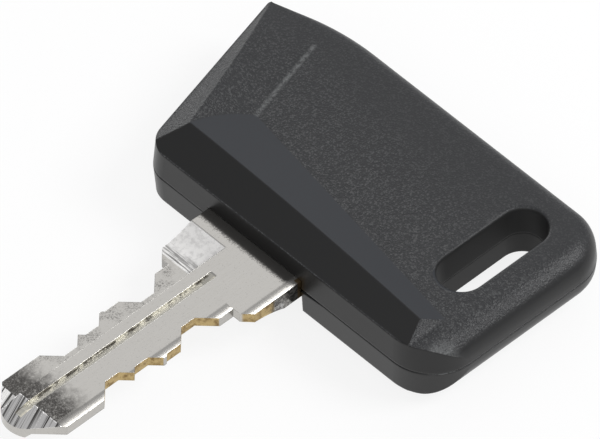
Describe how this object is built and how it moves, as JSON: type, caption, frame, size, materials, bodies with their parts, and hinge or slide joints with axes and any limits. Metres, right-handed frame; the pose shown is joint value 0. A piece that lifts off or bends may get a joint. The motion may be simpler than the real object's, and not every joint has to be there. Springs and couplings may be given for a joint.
{
  "type": "ignition key",
  "caption": "Double-sided milled key blade with a nickel finish, held in a wide wedge-shaped black plastic head with a raised thumb rim and a long key ring slot.",
  "frame": {"origin": "on the blade's axis where it leaves the head, in the parting plane of the two shells", "axes": "-X along the blade to its tip, +X into the head, +Y to the head's wider slanted end, +Z out of the upper shell"},
  "size_m": [0.0565, 0.0447, 0.0092],
  "materials": {
    "nickel_plate": "satin nickel plate, milled",
    "head_plastic": "fine moulded grain"
  },
  "bodies": {
    "root": {"key_blade": "nickel_plate", "upper_shell": "head_plastic", "lower_shell": "head_plastic"}
  },
  "joints": []
}
